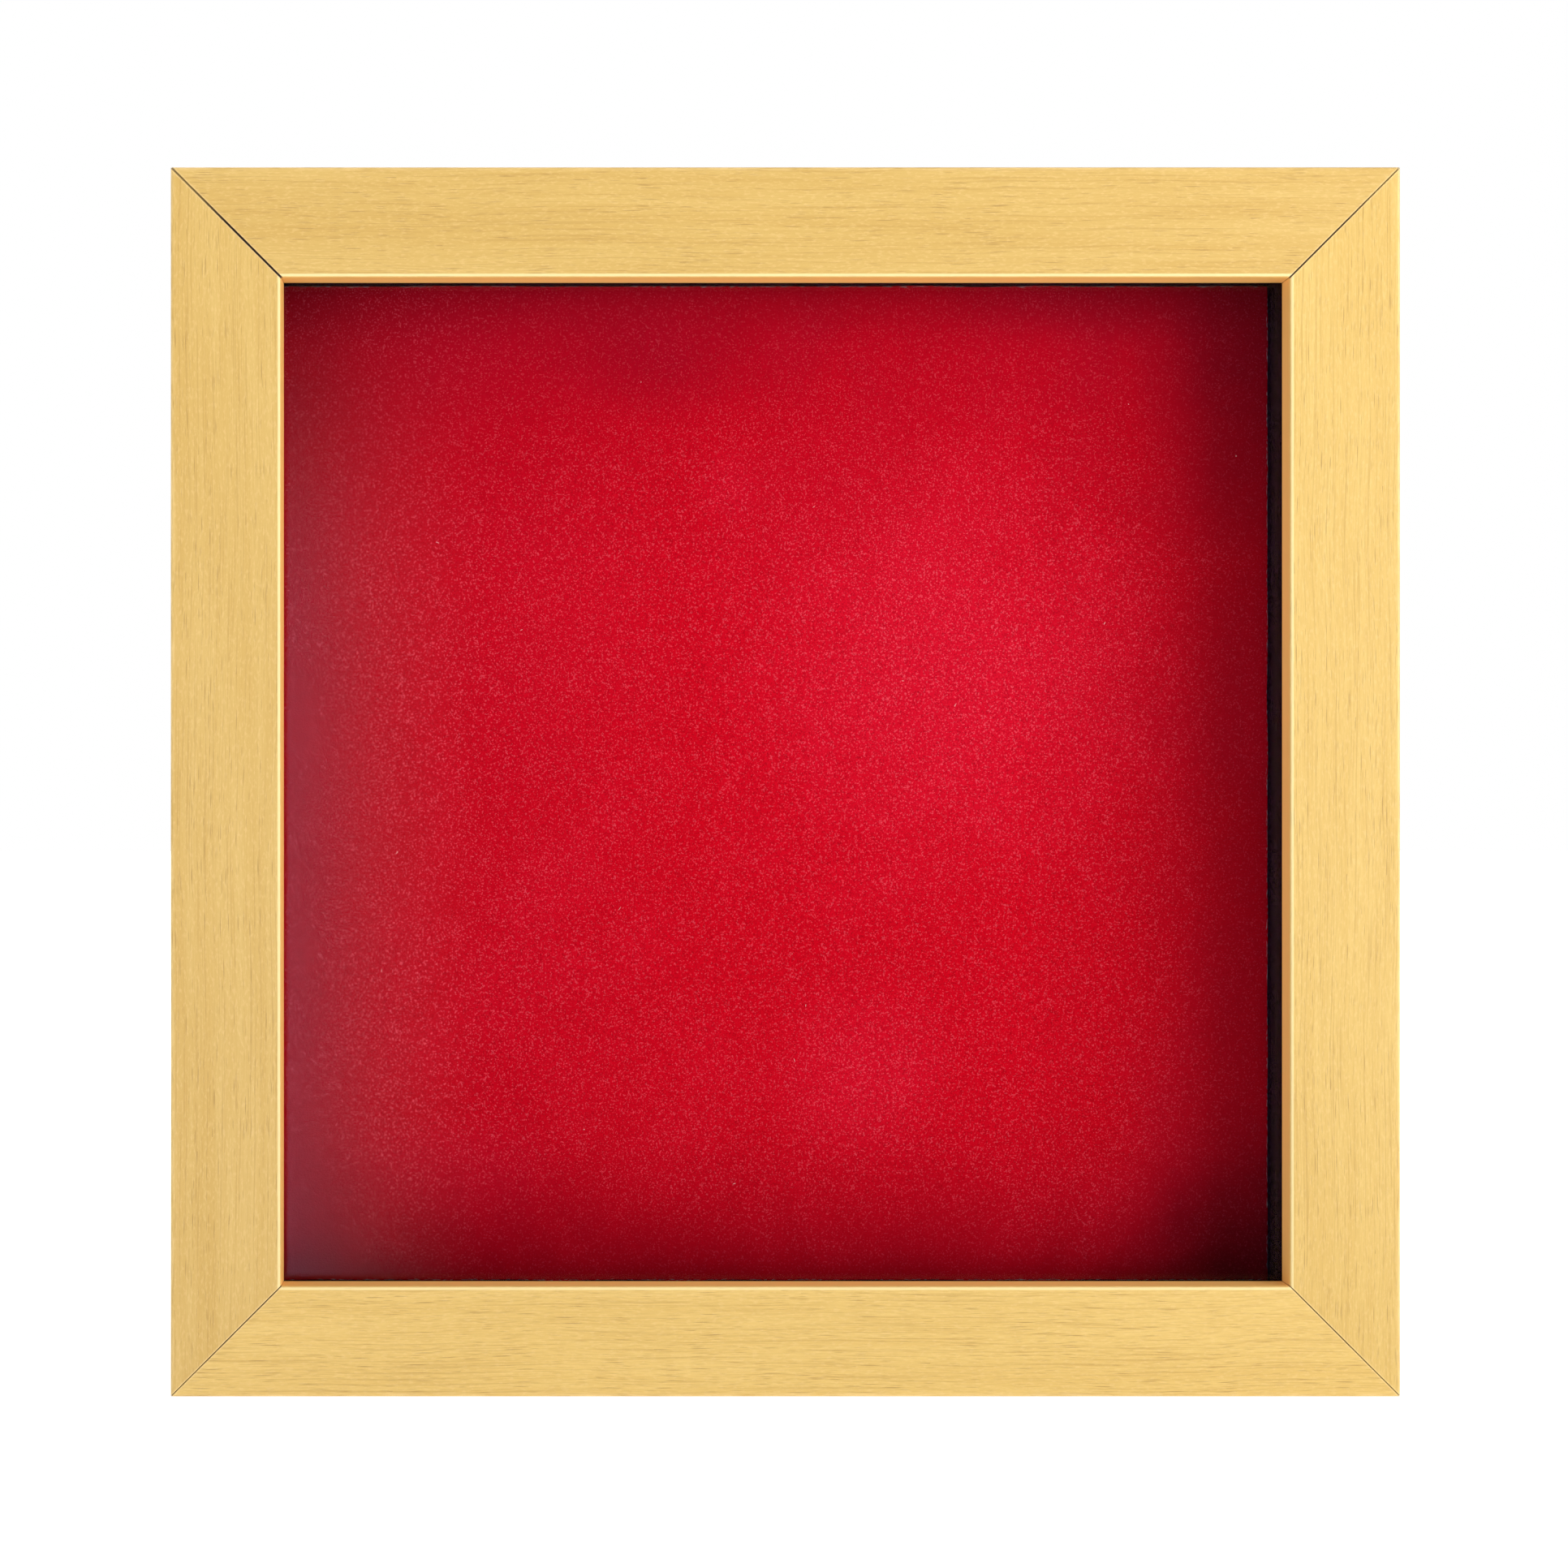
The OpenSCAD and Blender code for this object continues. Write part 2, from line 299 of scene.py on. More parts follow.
def wood(name, side, seed):
    """Lacquered pale hardwood with short fine pores that run along the rail."""
    m = new_material(name)
    x, y, z = m.position()
    height = m.minus(z, MID_Z)
    along, across = (x, height) if side in FLAT_SIDES else (height, x)
    grain = Grain(m, along, across, y, seed)
    far_x = m.math("ABSOLUTE", x)
    far_z = m.math("ABSOLUTE", height)
    reach = m.math("MAXIMUM", far_x, far_z)
    front = m.ramp(y, FRONT_Y + 1.2 * MM, FRONT_Y + 0.3 * MM)

    colour = m.mix(m.ramp(grain.tone, 0.32, 0.68), WOOD_LIGHT, WOOD_DEEP)
    # Painted light: each rail is lightened by its own amount from the table above
    colour = m.mix(RAIL_PAINTED_LIGHT[side], colour, WOOD_PAINTED_LIT)
    colour = m.mix(m.ramp(grain.fibres, 0.40, 0.70, 0.0, 0.50), colour, WOOD_DEEP)
    colour = m.mix(m.ramp(grain.mottle, 0.48, 0.70, 0.0, 0.24), colour, WOOD_PALE)
    colour = m.mix(m.product(grain.lines, 0.30), colour, WOOD_LINE)
    colour = m.mix(m.product(grain.long_pores, 0.44), colour, WOOD_PORE)
    colour = m.mix(m.product(grain.short_pores, 0.30), colour, WOOD_PORE)

    # Handling has rubbed the outer edges pale
    edge = m.ramp(reach, HALF_W - 1.6 * MM, HALF_W - 0.2 * MM)
    colour = m.mix(m.product(edge, front, grain.rub, 0.6), colour, WOOD_PALE)

    # Painted highlight along the lip's arris. The lip's inner side is painted a deeper, brighter orange:
    # partly a thicker stain, partly painted red light bounced from the velvet
    arris_in = m.ramp(reach, SIGHT + 0.15 * MM, SIGHT + 0.35 * MM)
    arris_out = m.ramp(reach, SIGHT + 1.1 * MM, SIGHT + 0.85 * MM)
    colour = m.mix(m.product(arris_in, arris_out, front, 0.55), colour, WOOD_ARRIS_HIGHLIGHT)
    lip = m.ramp(reach, SIGHT + 0.75 * MM, SIGHT + 0.25 * MM)
    deep = m.ramp(y, FRONT_Y + 0.3 * MM, FRONT_Y + 1.0 * MM)
    colour = m.mix(m.product(lip, deep, 0.8), colour, WOOD_LIP_STAIN_AND_BOUNCE)

    upper_end = m.math("GREATER_THAN", along, 0.0)
    line, arris = mitre(m, side, far_x, far_z, upper_end, grain.rub)
    colour = m.mix(m.product(arris, front, 0.5), colour, WOOD_PALE)
    colour = m.mix(m.product(line, front), colour, GLUE_DARK)

    # The back was never stained or lacquered
    back = m.ramp(y, BACK_Y - 0.9 * MM, BACK_Y - 0.2 * MM)
    raw = m.mix(m.ramp(grain.tone, 0.3, 0.7), RAW_LIGHT, RAW_DEEP)
    raw = m.mix(m.product(grain.long_pores, 0.5), raw, RAW_PORE)
    colour = m.mix(back, colour, raw)

    rough = m.plus(m.ramp(grain.tone, 0.3, 0.7, 0.40, 0.50), m.product(back, 0.35))
    bump = m.bump(grain.relief, 0.05 * MM, 0.45)
    return m.principled(colour, rough, Normal=bump, Coat_Weight=0.10, Coat_Roughness=0.32)


# ---- Glass, felt and velvet ----

GLASS_CLEAR = (0.996, 0.999, 0.997, 1)
COATED_IOR = 1.2
FELT_DARK = (0.004, 0.002, 0.006, 1)
FELT_LIGHT = (0.038, 0.018, 0.050, 1)
FELT_DULL = (0.012, 0.005, 0.013, 1)
FELT_CUT = (0.085, 0.06, 0.078, 1)
FLUFF_DARK = (0.11, 0.09, 0.13, 1)
FLUFF_LIGHT = (0.34, 0.30, 0.36, 1)
VELVET_PAINTED_SHADE = (0.125, 0.0001, 0.010, 1)
VELVET_RED = (0.70, 0.0001, 0.014, 1)
VELVET_LIFT = (0.76, 0.006, 0.032, 1)
VELVET_DEEP = (0.63, 0.0001, 0.010, 1)
PILE_SHADE = (0.26, 0.0, 0.004, 1)
PILE_TIP = (0.95, 0.120, 0.180, 1)
PILE_GLINT = (0.90, 0.07, 0.12, 1)
DUST = (0.8, 0.45, 0.45, 1)
LINT_DARK = (0.75, 0.40, 0.40, 1)
LINT_LIGHT = (0.90, 0.78, 0.75, 1)

# Where a hand has brushed the nap, in mm: x and height from the middle, two radii and the strength
BRUSHED = (
    (56, 38, 82, 76, 0.85),
    (28, -89, 30, 33, 0.60),
    (-11, 89, 14, 15, 0.50),
    (-100, -118, 40, 22, 0.60),
    (-70, 50, 60, 70, 0.25),
)

# Patches of painted shade, near the corners and along the top, in the same terms
PAINTED_SHADE_PATCHES = (
    (146, -142, 46, 44, 0.75),
    (140, 120, 30, 60, 0.35),
    (-30, 128, 46, 20, 0.30),
    (95, 146, 50, 14, 0.25),
)


def glass():
    """A clear pane, coated so that it mirrors little. The rest of the light goes straight through."""
    m = new_material("window_glass")
    shine = m.add("BsdfGlossy", {"Color": (1, 1, 1, 1), "Roughness": 0.03})
    through = m.add("BsdfTransparent", {"Color": GLASS_CLEAR})
    mirrored = m.add("Fresnel", {"IOR": COATED_IOR})
    return m.finish(m.add("MixShader", {0: mirrored, 1: through, 2: shine}))


def black_felt():
    """Short black felt with a faint plum cast, greyer along its cut rear edge."""
    m = new_material("black_felt")
    where = m.coordinates()
    y = m.position()[1]
    wool = m.noise(where, 1100.0, 4.0, 0.7)
    mottle = m.noise(where, 60.0)
    colour = m.mix(m.ramp(wool, 0.38, 0.66), FELT_DARK, FELT_LIGHT)
    colour = m.mix(m.ramp(mottle, 0.4, 0.7, 0.0, 0.4), colour, FELT_DULL)
    fluff = m.product(m.ramp(y, WALL_BACK - 1.0 * MM, WALL_BACK - 0.2 * MM), m.ramp(wool, 0.35, 0.6))
    colour = m.mix(m.product(fluff, 0.6), colour, FELT_CUT)
    return m.principled(colour, 0.95, Normal=m.bump(wool, 0.3 * MM, 0.8), Specular_IOR_Level=0.02)


def grey_fluff():
    """The loose fibres that stand out of cut felt."""
    m = new_material("grey_felt_fluff")
    tone = m.ramp(m.noise(m.coordinates(), 600.0), 0.3, 0.7)
    return m.principled(m.mix(tone, FLUFF_DARK, FLUFF_LIGHT), 0.95)


def oval(m, x, height, stroke, mark):
    """A soft uneven oval patch, at its strength in the middle."""
    centre_x, centre_z, radius_x, radius_z, strength = mark
    off_x = m.math("DIVIDE", m.minus(x, centre_x * MM), radius_x * MM)
    off_z = m.math("DIVIDE", m.minus(height, centre_z * MM), radius_z * MM)
    away = m.plus(m.length(off_x, off_z), m.product(m.minus(stroke, 0.5), 0.7))
    return m.ramp(away, 1.15, 0.1, 0.0, strength)


def velvet():
    """Crimson short-pile velvet: a fine speckle of pile, brushed one way and another in soft patches."""
    m = new_material("crimson_velvet")
    where = m.coordinates()
    x, y, z = m.position()
    height = m.minus(z, MID_Z)
    pile = m.noise(where, 2300.0, 2.0, 0.7)
    tuft = m.noise(where, 2000.0, 2.0, 0.6)
    drift = m.noise(where, 14.0, 3.0, 0.55, 0.5)
    stroke = m.noise(where, 36.0, 2.0, 0.55, 1.0)
    nap = m.weighted((drift, 0.7), (stroke, 0.3))

    # Painted shade: the velvet darkens towards each wall, standing in for the walls' shadows and the fall
    # of the light
    u = m.math("DIVIDE", x, WALL_IN)
    v = m.math("DIVIDE", height, WALL_IN)
    wobble = m.product(m.minus(nap, 0.5), 0.5)
    u_soft = m.plus(u, wobble)
    v_soft = m.plus(v, wobble)
    painted_light_level = m.product(
        m.ramp(u_soft, -0.95, -0.05, 0.73, 1.0),
        m.ramp(u_soft, 1.00, 0.58, 0.52, 1.0),
        m.ramp(v_soft, 1.15, 0.30, 0.37, 1.0),
        m.ramp(v_soft, -1.08, -0.66, 0.45, 1.0),
    )
    # More painted shade in the patches listed above
    for mark in PAINTED_SHADE_PATCHES:
        painted_light_level = m.product(painted_light_level, m.minus(1.0, oval(m, x, height, stroke, mark)))
    colour = m.mix(painted_light_level, VELVET_PAINTED_SHADE, VELVET_RED)

    # Marks of a hand lift the nap, and the cloth between them lies deeper
    lifted = m.product(m.ramp(nap, 0.42, 0.66), 0.35)
    for mark in BRUSHED:
        lifted = m.math("MAXIMUM", lifted, oval(m, x, height, stroke, mark))
    colour = m.mix(m.product(m.minus(1.0, lifted), painted_light_level, 0.6), colour, VELVET_DEEP)
    colour = m.mix(m.product(lifted, painted_light_level, 0.75), colour, VELVET_LIFT)

    # Pile tips catch the light one by one, the more so at the left and where the nap is lifted
    # The pile tips follow the painted shade, showing less where it is dark
    stands = m.ramp(painted_light_level, 0.40, 0.95, 0.36, 1.0)
    at_left = m.ramp(u, -0.45, -0.80, 0.0, 0.30)
    tips = m.plus(m.product(lifted, 0.24), m.plus(at_left, 0.38))
    colour = m.mix(m.product(m.ramp(pile, 0.50, 0.34), stands, 0.50), colour, PILE_SHADE)
    colour = m.mix(m.product(m.ramp(tuft, 0.56, 0.66), stands, tips), colour, PILE_TIP)
    glint = m.cells(where, 420.0)[0]
    colour = m.mix(m.product(m.ramp(glint, 0.16, 0.06), painted_light_level, 0.22), colour, PILE_GLINT)

    # A few specks of dust lie on it
    distance, chance = m.cells(where, 62.0)
    speck = m.product(m.ramp(distance, 0.020, 0.010), m.math("GREATER_THAN", chance, 0.72))
    colour = m.mix(m.product(speck, 0.6), colour, DUST)

    bump = m.bump(m.weighted((pile, 0.6), (tuft, 0.4)), 0.3 * MM, 0.6)
    sheen = {"Sheen_Weight": 0.2, "Sheen_Roughness": 0.4, "Sheen_Tint": (1.0, 0.03, 0.10, 1)}
    return m.principled(colour, 0.9, Normal=bump, Specular_IOR_Level=0.08, **sheen)


def lint():
    """Pale fluff that velvet picks up."""
    m = new_material("pale_lint")
    tone = m.ramp(m.noise(m.coordinates(), 300.0), 0.3, 0.7)
    return m.principled(m.mix(tone, LINT_DARK, LINT_LIGHT), 0.9)


# ---- Metal, rubber and boards ----

SCRATCH = (0.85, 0.86, 0.88, 1)
RUBBER_CLEAN = (0.030, 0.030, 0.032, 1)
RUBBER_BLOOM = (0.075, 0.073, 0.070, 1)
FIBRE_DARK = (0.150, 0.082, 0.036, 1)
FIBRE_LIGHT = (0.270, 0.160, 0.078, 1)
FIBRE_CLOUD = (0.120, 0.066, 0.030, 1)
FIBRE_STRAND = (0.42, 0.29, 0.16, 1)
PAPER_DULL = (0.80, 0.79, 0.76, 1)
PAPER_WHITE = (0.88, 0.87, 0.85, 1)
SCREEN_PITCH = 1.3 * MM


def metal(name, bright, dull, spangle, smooth, rough):
    """Plated steel: crystals in the plating, rolling lines, fine scratches and dull patches."""
    m = new_material(name)
    where = m.coordinates()
    places = m.position()
    facet = m.cells(where, spangle)[1]
    rolled = m.noise(m.stretched(places, (300.0, 300.0, 6000.0)), 1.0)
    scratch = m.ramp(m.noise(m.stretched(places, (5200.0, 900.0, 260.0)), 1.0, 1.0), 0.66, 0.74)
    patch = m.noise(where, 140.0, 3.0, 0.6)
    worn = m.ramp(patch, 0.45, 0.70)
    colour = m.mix(m.product(facet, 0.25), bright, dull)
    colour = m.mix(m.product(worn, 0.7), colour, dull)
    colour = m.mix(m.product(scratch, 0.35), colour, SCRATCH)
    roughness = m.plus(m.ramp(patch, 0.3, 0.7, smooth, rough), m.product(facet, 0.06))
    height = m.minus(m.product(rolled, 0.4), scratch)
    return m.principled(colour, roughness, Metallic=1.0, Normal=m.bump(height, 0.02 * MM, 0.5))


def rubber():
    """Charcoal moulded rubber with bloom and dust."""
    m = new_material("bumper_rubber")
    where = m.coordinates()
    grain = m.noise(where, 2600.0)
    bloom = m.noise(where, 220.0, 3.0, 0.6)
    colour = m.mix(m.ramp(bloom, 0.4, 0.7), RUBBER_CLEAN, RUBBER_BLOOM)
    return m.principled(colour, m.ramp(bloom, 0.3, 0.7, 0.45, 0.7), Normal=m.bump(grain, 0.05 * MM, 0.4))


def hardboard():
    """Pressed brown fibre with the waffle that its drying screen leaves, and stray fibres."""
    m = new_material("pressed_hardboard")
    where = m.coordinates()
    places = m.position()
    x, y, z = places
    wires = 2 * math.pi / SCREEN_PITCH
    waffle = m.product(m.math("SINE", m.product(x, wires)), m.math("SINE", m.product(z, wires)))
    pulp = m.noise(where, 700.0, 4.0, 0.7)
    cloud = m.noise(where, 30.0, 3.0, 0.55)
    strand_a = m.noise(m.stretched(places, (2400.0, 1.0, 260.0)), 1.0, 2.0, 0.6, 1.5)
    strand_b = m.noise(m.stretched(places, (260.0, 1.0, 2400.0)), 1.0, 2.0, 0.6, 1.5)
    strands = m.math("MAXIMUM", m.ramp(strand_a, 0.62, 0.74), m.ramp(strand_b, 0.62, 0.74))
    colour = m.mix(m.ramp(pulp, 0.3, 0.7), FIBRE_DARK, FIBRE_LIGHT)
    colour = m.mix(m.ramp(cloud, 0.4, 0.7, 0.0, 0.22), colour, FIBRE_CLOUD)
    colour = m.mix(m.product(strands, 0.5), colour, FIBRE_STRAND)
    bump = m.bump(m.plus(m.product(waffle, 0.5), pulp), 0.12 * MM, 0.7)
    return m.principled(colour, m.ramp(cloud, 0.3, 0.7, 0.62, 0.85), Normal=bump)


def foam_board():
    """White paper-faced foam board."""
    m = new_material("paper_foam_board")
    where = m.coordinates()
    paper = m.noise(where, 900.0, 3.0)
    dent = m.noise(where, 90.0)
    colour = m.mix(m.ramp(paper, 0.3, 0.7), PAPER_DULL, PAPER_WHITE)
    return m.principled(colour, 0.85, Normal=m.bump(m.plus(m.product(paper, 0.2), dent), 0.1 * MM, 0.5))


# ---- Stage ----

WHITE = (1, 1, 1, 1)
VEIL_TINT = (1.0, 0.84, 1.35, 1)
FLOOR_GREY = (0.56, 0.56, 0.56, 1)
FLOOR_HALF = 8.0
LENS = 57.3
LENS_SHIFT = (0.151, 0.012)
CAMERA_LEFT = 68 * MM
CAMERA_BACK = 712 * MM
CAMERA_DOWN = 6 * MM


def make_camera():
    """Straight on to the face from a little left of its middle, framed by the lens's shift."""
    data = bpy.data.cameras.new("camera")
    data.sensor_width = 36.0
    data.lens = LENS
    data.shift_x, data.shift_y = LENS_SHIFT
    camera = bpy.data.objects.new("camera", data)
    camera.location = (-CAMERA_LEFT, FRONT_Y - CAMERA_BACK, MID_Z - CAMERA_DOWN)
    camera.rotation_euler = (math.pi / 2, 0, 0)
    bpy.context.scene.collection.objects.link(camera)
    bpy.context.scene.camera = camera


def area_light(name, offset, size, power, mirrored=False):
    """A soft light at an offset from the middle of the face, aimed at it."""
    data = bpy.data.lights.new(name, "AREA")
    data.shape = "RECTANGLE"
    data.size, data.size_y = size
    data.energy = power
    light = bpy.data.objects.new(name, data)
    light.location = Vector((0, FRONT_Y, MID_Z)) + Vector(offset)
    light.rotation_euler = (-Vector(offset)).to_track_quat("-Z", "Y").to_euler()
    light.visible_camera = False
    light.visible_glossy = mirrored
    bpy.context.scene.collection.objects.link(light)


def make_lights():
    """A large key from the right, three weak ones round it, and one behind for the hardware's shine."""
    area_light("key", offset=(0.95, -1.22, -0.04), size=(1.3, 1.0), power=16.5)
    area_light("fill", offset=(-0.95, -1.25, -0.12), size=(1.1, 1.0), power=5.4)
    area_light("top", offset=(0.10, -0.40, 1.40), size=(1.2, 0.8), power=4.5)
    area_light("edge", offset=(1.30, -0.75, 0.15), size=(0.3, 0.9), power=7.0, mirrored=True)
    area_light("back", offset=(-0.50, 1.50, 1.10), size=(1.2, 1.2), power=12.0, mirrored=True)


def make_world():
    """White to look at. As light, a pale dome that is dark behind the camera but for its left."""
    m = Nodes(bpy.data.worlds.new("studio"), "ShaderNodeOutputWorld")
    bpy.context.scene.world = m.owner
    x, y, z = m.split(m.add("TexCoord").outputs["Generated"])
    dome = m.ramp(y, -0.92, -0.25, 0.02, 0.80)
    side = m.product(m.ramp(x, -0.02, -0.15), m.ramp(y, -0.5, -0.9), m.ramp(z, 0.21, 0.06))
    # The glass mirrors this part as a pale veil over the velvet's left
    veil = m.product(side, m.ramp(x, -0.30, -0.18), m.ramp(z, -0.34, -0.24))
    strength = m.plus(dome, m.weighted((side, 0.8), (veil, 1.7)))
    light = m.add("Background", {"Color": m.mix(veil, WHITE, VEIL_TINT), "Strength": strength})
    plain = m.add("Background", {"Color": WHITE, "Strength": 1.0})
    seen = m.add("LightPath").outputs["Is Camera Ray"]
    m.finish(m.add("MixShader", {0: seen, 1: light, 2: plain}))


def white_floor():
    """A pale floor that brightens to plain white away from the object."""
    m = new_material("studio_floor")
    x, y, z = m.position()
    glow = m.ramp(m.length(x, y), 0.15, 0.8, 0.72, 1.0)
    shine = {"Specular_IOR_Level": 0.0, "Emission_Color": WHITE, "Emission_Strength": glow}
    return m.principled(FLOOR_GREY, 0.9, **shine)


def make_floor():
    bm = bmesh.new()
    bmesh.ops.create_grid(bm, x_segments=1, y_segments=1, size=FLOOR_HALF)
    floor = new_object("studio_floor", bm, white_floor(), smooth=False)
    floor.visible_glossy = False


# ---- Velvet cover ----

FOLD = 1.4 * MM
TURNED_IN = 24 * MM
CLOTH_CORNER = 1.5 * MM
CLOTH_UNEVEN = 0.12 * MM
CLOTH_WAVES_PER_METRE = 22.0
FRONT_RINGS = 60
BACK_RINGS = 4
POINTS_PER_SIDE = 56
CORNER_STEPS = 5
FOLD_STEPS = 4


def rounded_square(half, radius, centre, y):
    """Points round a square with rounded corners, in the plane at y."""
    points = []
    for quarter in range(4):
        turn = Matrix.Rotation(quarter * math.pi / 2, 3, "Y")
        straight = half - radius
        for i in range(POINTS_PER_SIDE):
            local = Vector((half, 0, straight * (1 - 2 * i / POINTS_PER_SIDE)))
            points.append(turn @ local)
        for i in range(CORNER_STEPS):
            angle = i / CORNER_STEPS * math.pi / 2
            local = Vector((straight + radius * math.cos(angle), 0, -straight - radius * math.sin(angle)))
            points.append(turn @ local)
    return [Vector((centre.x, y, centre.z)) + point for point in points]


def bridge(bm, rings):
    """Quads between each ring of vertices and the next."""
    for ring, following in zip(rings, rings[1:]):
        for i in range(len(ring)):
            j = (i + 1) % len(ring)
            bm.faces.new((ring[i], ring[j], following[j], following[i]))


def velvet_profile(half):
    """Half width and depth of each ring of the cloth, from the middle of the face to its turned-in edge."""
    flat = half - FOLD
    profile = [(flat * (k + 1) / FRONT_RINGS, VELVET_LO.y) for k in range(FRONT_RINGS)]
    for k in range(1, FOLD_STEPS + 1):
        angle = k / FOLD_STEPS * math.pi / 2
        profile.append((flat + FOLD * math.sin(angle), VELVET_LO.y + FOLD * (1 - math.cos(angle))))
    for k in range(FOLD_STEPS + 1):
        angle = k / FOLD_STEPS * math.pi / 2
        profile.append((flat + FOLD * math.cos(angle), VELVET_HI.y - FOLD * (1 - math.sin(angle))))
    return profile + [(flat - TURNED_IN * k / BACK_RINGS, VELVET_HI.y) for k in range(1, BACK_RINGS + 1)]


def velvet_cover():
    """The cloth over the front of its board, down its edges and back over its rear face."""
    half = (VELVET_HI.x - VELVET_LO.x) / 2
    middle = (VELVET_LO + VELVET_HI) / 2
    bm = bmesh.new()
    rings = []
    for size, y in velvet_profile(half):
        points = rounded_square(size, min(CLOTH_CORNER, size / 3), middle, y)
        rings.append([bm.verts.new(point) for point in points])
    bridge(bm, rings)
    bm.faces.new(rings[0])
    for ring in rings[:FRONT_RINGS - 2]:
        for vert in ring:
            vert.co.y += CLOTH_UNEVEN * (1 + noise.noise(vert.co * CLOTH_WAVES_PER_METRE))
    bmesh.ops.recalc_face_normals(bm, faces=bm.faces)
    piece = new_object("crimson_velvet_cover", bm, velvet())
    thick = piece.modifiers.new("cloth", "SOLIDIFY")
    thick.thickness = BOARD_FRONT - VELVET_LO.y
    thick.offset = -1
    place(piece, "back_panel", "red_velvet", "velvet_cover")


# ---- Felt liners, fluff and lint ----

FELT_ROUND = 0.4 * MM
FELT_SWELL = 0.10 * MM
FELT_LUMPS = 0.06 * MM
FELT_WANDER = 0.35 * MM
FELT_CUT_ZONE = 3 * MM
FELT_STEPS = 150
FELT_DEPTH_STEPS = 16
FLUFF_PER_SIDE = 260
FLUFF_RADIUS = 0.055 * MM
FLUFF_SEED = 7
LINT_COUNT = 16
LINT_SEED = 23


def wall_point(side, along, y, out):
    """A point by its place along a wall, its depth and its distance out from the middle."""
    return {
        "bottom": Vector((along, y, MID_Z - out)),
        "top": Vector((along, y, MID_Z + out)),
        "left": Vector((-out, y, MID_Z + along)),
        "right": Vector((out, y, MID_Z + along)),
    }[side]


def felt_outline(outer, front, back):
    """The strip's section as distances out and depths, round from the wall over the face and back."""
    step = (back - front - 2 * FELT_ROUND) / FELT_DEPTH_STEPS
    bevel = FELT_ROUND * 0.3
    outline = [(outer, front), (WALL_IN + FELT_ROUND, front), (WALL_IN + bevel, front + bevel)]
    outline += [(WALL_IN, front + FELT_ROUND + step * k) for k in range(FELT_DEPTH_STEPS + 1)]
    return outline + [(WALL_IN + bevel, back - bevel), (WALL_IN + FELT_ROUND, back), (outer, back)]


def felt_liner(side, felt):
    """A felt strip against one wall. Its face is a little uneven and its cut rear edge wanders."""
    low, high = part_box(f"liner_{side}")
    size = high - low
    reach, thick = (size.x / 2, size.z) if side in FLAT_SIDES else (size.z / 2, size.x)
    outer = WALL_IN + thick
    outline = felt_outline(outer, low.y, high.y)
    number = SIDES.index(side)
    bm = bmesh.new()
    rings = []
    for i in range(FELT_STEPS + 1):
        along = reach * (2 * i / FELT_STEPS - 1)
        ring = []
        for out, y in outline:
            rear = max(0.0, 1 - (high.y - y) / FELT_CUT_ZONE)
            spot = Vector((along * 30, y * 40, number * 7.0))
            uneven = FELT_SWELL * noise.noise(spot) + FELT_LUMPS * noise.noise(spot * 9)
            wander = rear * FELT_WANDER * noise.noise(Vector((along * 55, 3.0, number * 5.0)))
            lift = (uneven + wander) if out < outer else 0.0
            ring.append(bm.verts.new(wall_point(side, along, y, min(out + lift, outer))))
        rings.append(ring)
    bridge(bm, rings)
    bm.faces.new(rings[0])
    bm.faces.new(rings[-1])
    bmesh.ops.recalc_face_normals(bm, faces=bm.faces)
    place(new_object(f"felt_liner_{side}", bm, felt), "frame", "black_felt", f"liner_{side}")


def hair(bm, start, heading, lean, length, radius, rng):
    """One short bent fibre: a thin tube that tapers to both ends."""
    steps = 5
    sides = 4
    point = start.copy()
    direction = heading.normalized()
    rings = []
    for i in range(steps + 1):
        taper = 0.25 + 0.75 * math.sin(math.pi * i / steps)
        across = direction.orthogonal().normalized()
        other = direction.cross(across)
        corners = [2 * math.pi * k / sides for k in range(sides)]
        spots = [point + (across * math.cos(a) + other * math.sin(a)) * radius * taper for a in corners]
        rings.append([bm.verts.new(spot) for spot in spots])
        direction = (direction + lean * rng.uniform(-0.5, 0.5)).normalized()
        point = point + direction * length / steps
    bridge(bm, rings)
    bm.faces.new(rings[0])
    bm.faces.new(rings[-1])


def felt_fluff():
    """Loose fibres along the cut rear edges of the felt, where it meets the velvet."""
    rng = random.Random(FLUFF_SEED)
    bm = bmesh.new()
    for side in SIDES:
        tangent = (wall_point(side, 1, 0, 0) - wall_point(side, 0, 0, 0)).normalized()
        inward = (wall_point(side, 0, 0, 0) - wall_point(side, 0, 0, 1)).normalized()
        for _ in range(FLUFF_PER_SIDE):
            along = rng.uniform(-0.98, 0.98) * WALL_IN
            out = WALL_IN - rng.uniform(0.0, 0.16) * MM
            start = wall_point(side, along, WALL_BACK - rng.uniform(0.1, 0.7) * MM, out)
            heading = tangent * rng.choice((-1, 1)) + inward * rng.uniform(-0.06, 0.08)
            lean = inward * 0.3 + Vector((0, -0.4, 0))
            hair(bm, start, heading, lean, rng.uniform(0.8, 2.4) * MM, FLUFF_RADIUS, rng)
    bmesh.ops.recalc_face_normals(bm, faces=bm.faces)
    place(new_object("felt_edge_fluff", bm, grey_fluff()), "frame", "black_felt")


def velvet_lint():
    """A few pale fibres and crumbs lying on the velvet."""
    rng = random.Random(LINT_SEED)
    bm = bmesh.new()
    spread = WALL_IN * 0.85
    on_cloth = VELVET_LO.y + 0.02 * MM
    for _ in range(LINT_COUNT):
        x = rng.uniform(-spread, spread)
        spot = Vector((x, on_cloth, MID_Z + rng.uniform(-spread, spread)))
        angle = rng.uniform(0, math.pi)
        heading = Vector((math.cos(angle), 0, math.sin(angle)))
        lean = Vector((-math.sin(angle), 0, math.cos(angle)))
        hair(bm, spot, heading, lean, rng.uniform(0.3, 1.3) * MM, rng.uniform(0.07, 0.13) * MM, rng)
    bmesh.ops.recalc_face_normals(bm, faces=bm.faces)
    place(new_object("velvet_lint", bm, lint()), "back_panel", "red_velvet")


# ---- Hardware ----

